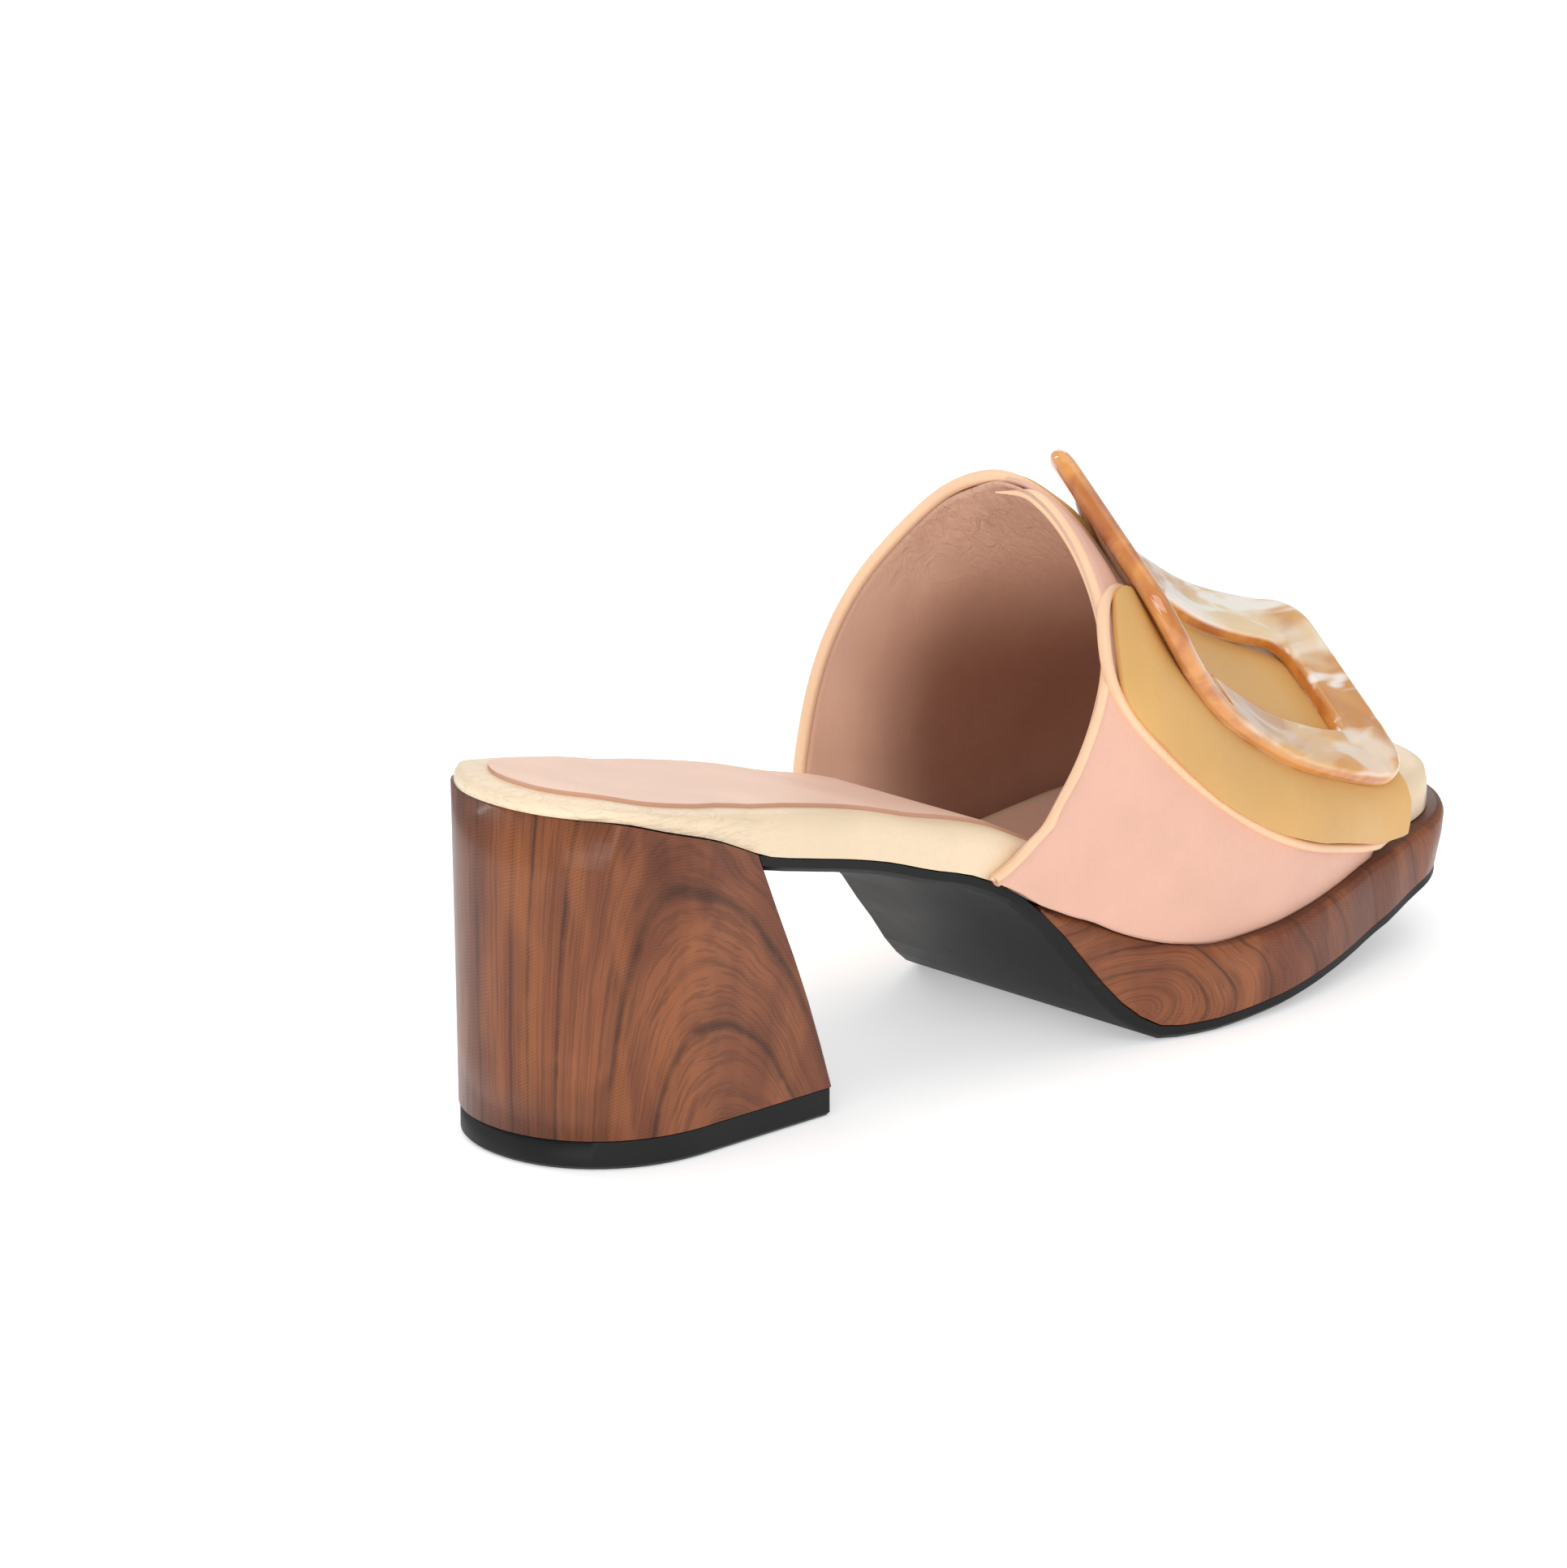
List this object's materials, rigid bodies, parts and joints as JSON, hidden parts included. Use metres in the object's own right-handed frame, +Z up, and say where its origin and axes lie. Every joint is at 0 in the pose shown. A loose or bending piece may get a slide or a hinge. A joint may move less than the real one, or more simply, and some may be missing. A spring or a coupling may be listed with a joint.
{
  "type": "platform mule sandal",
  "caption": "Right open-toe platform mule with a block heel, wood-print cover, wrapped vamp strap and a large resin frame buckle.",
  "frame": {"origin": "middle of the heel's top piece, on the floor", "axes": "+Y from heel to toe, +X to the wearer's right, which is the lateral side, +Z up"},
  "size_m": [0.0869, 0.2481, 0.1148],
  "materials": {
    "rubber": "matte black rubber",
    "wood": "wood-grain print under satin lacquer",
    "cream_leather": "smooth cream leather",
    "sock_leather": "pale pink lining leather",
    "pink_leather": "smooth pale pink and mustard leather",
    "resin": "polished marbled amber resin"
  },
  "bodies": {
    "root": {"top_piece": "rubber", "outsole": "rubber", "heel": "wood", "platform": "wood", "footbed": "cream_leather", "sock": "sock_leather", "upper": "pink_leather", "buckle": "resin"}
  },
  "joints": []
}
